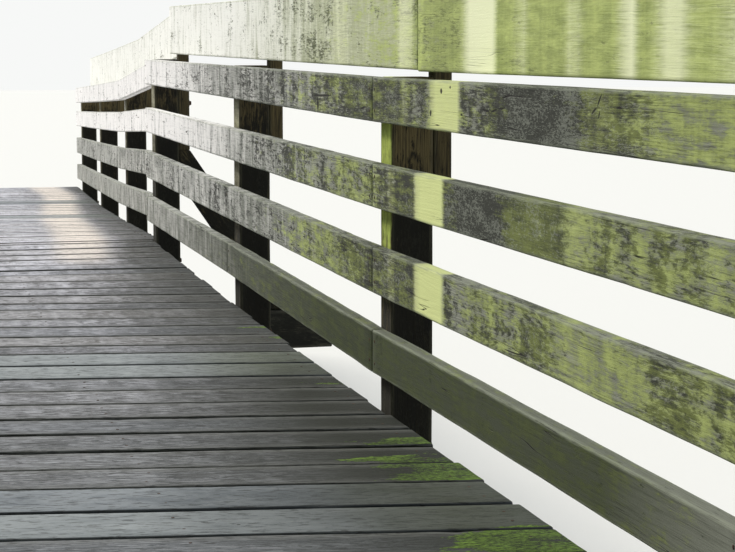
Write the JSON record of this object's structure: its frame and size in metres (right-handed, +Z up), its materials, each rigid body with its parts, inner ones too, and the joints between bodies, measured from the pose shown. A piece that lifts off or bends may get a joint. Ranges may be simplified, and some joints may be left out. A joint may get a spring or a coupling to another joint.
{
  "type": "timber footbridge",
  "caption": "Weathered timber footbridge: plank deck, four-rail parapets raised by a wide top board, raking struts at the crests and flared falling approaches.",
  "frame": {"origin": "on the ground under the middle of the deck, level with the feet of the piles", "axes": "+X across the bridge to the right-hand railing, +Y along the bridge away from the viewer, +Z up"},
  "size_m": [4.312, 27.2, 2.8018],
  "materials": {
    "deck_planks": "weathered silver grey timber",
    "rail_boards": "weathered timber with green algae",
    "top_boards": "weathered timber with bright green algae",
    "posts": "dark weathered timber",
    "framing": "dark damp timber"
  },
  "bodies": {
    "root": {"approach_beams_far": "framing", "approach_beams_near": "framing", "cleats_far_left": "posts", "cleats_far_right": "posts", "cleats_main_left": "posts", "cleats_main_right": "posts", "cleats_near_left": "posts", "cleats_near_right": "posts", "crosshead_far": "framing", "crosshead_near": "framing", "deck_approach_far": "deck_planks", "deck_approach_near": "deck_planks", "deck_main": "deck_planks", "end_piles_far": "framing", "end_piles_near": "framing", "end_sill_far": "framing", "end_sill_near": "framing", "main_beam_inner_left": "framing", "main_beam_inner_right": "framing", "main_beam_left": "framing", "main_beam_right": "framing", "posts_far_left": "posts", "posts_far_right": "posts", "posts_main_left": "posts", "posts_main_right": "posts", "posts_near_left": "posts", "posts_near_right": "posts", "rails_far_left": "rail_boards", "rails_far_right": "rail_boards", "rails_main_left": "rail_boards", "rails_main_right": "rail_boards", "rails_near_left": "rail_boards", "rails_near_right": "rail_boards", "strut_far_left": "posts", "strut_far_right": "posts", "strut_near_left": "posts", "strut_near_right": "posts", "top_boards_far_left": "top_boards", "top_boards_far_right": "top_boards", "top_boards_main_left": "top_boards", "top_boards_main_right": "top_boards", "top_boards_near_left": "top_boards", "top_boards_near_right": "top_boards", "trestle_piles_far": "framing", "trestle_piles_near": "framing"}
  },
  "joints": []
}
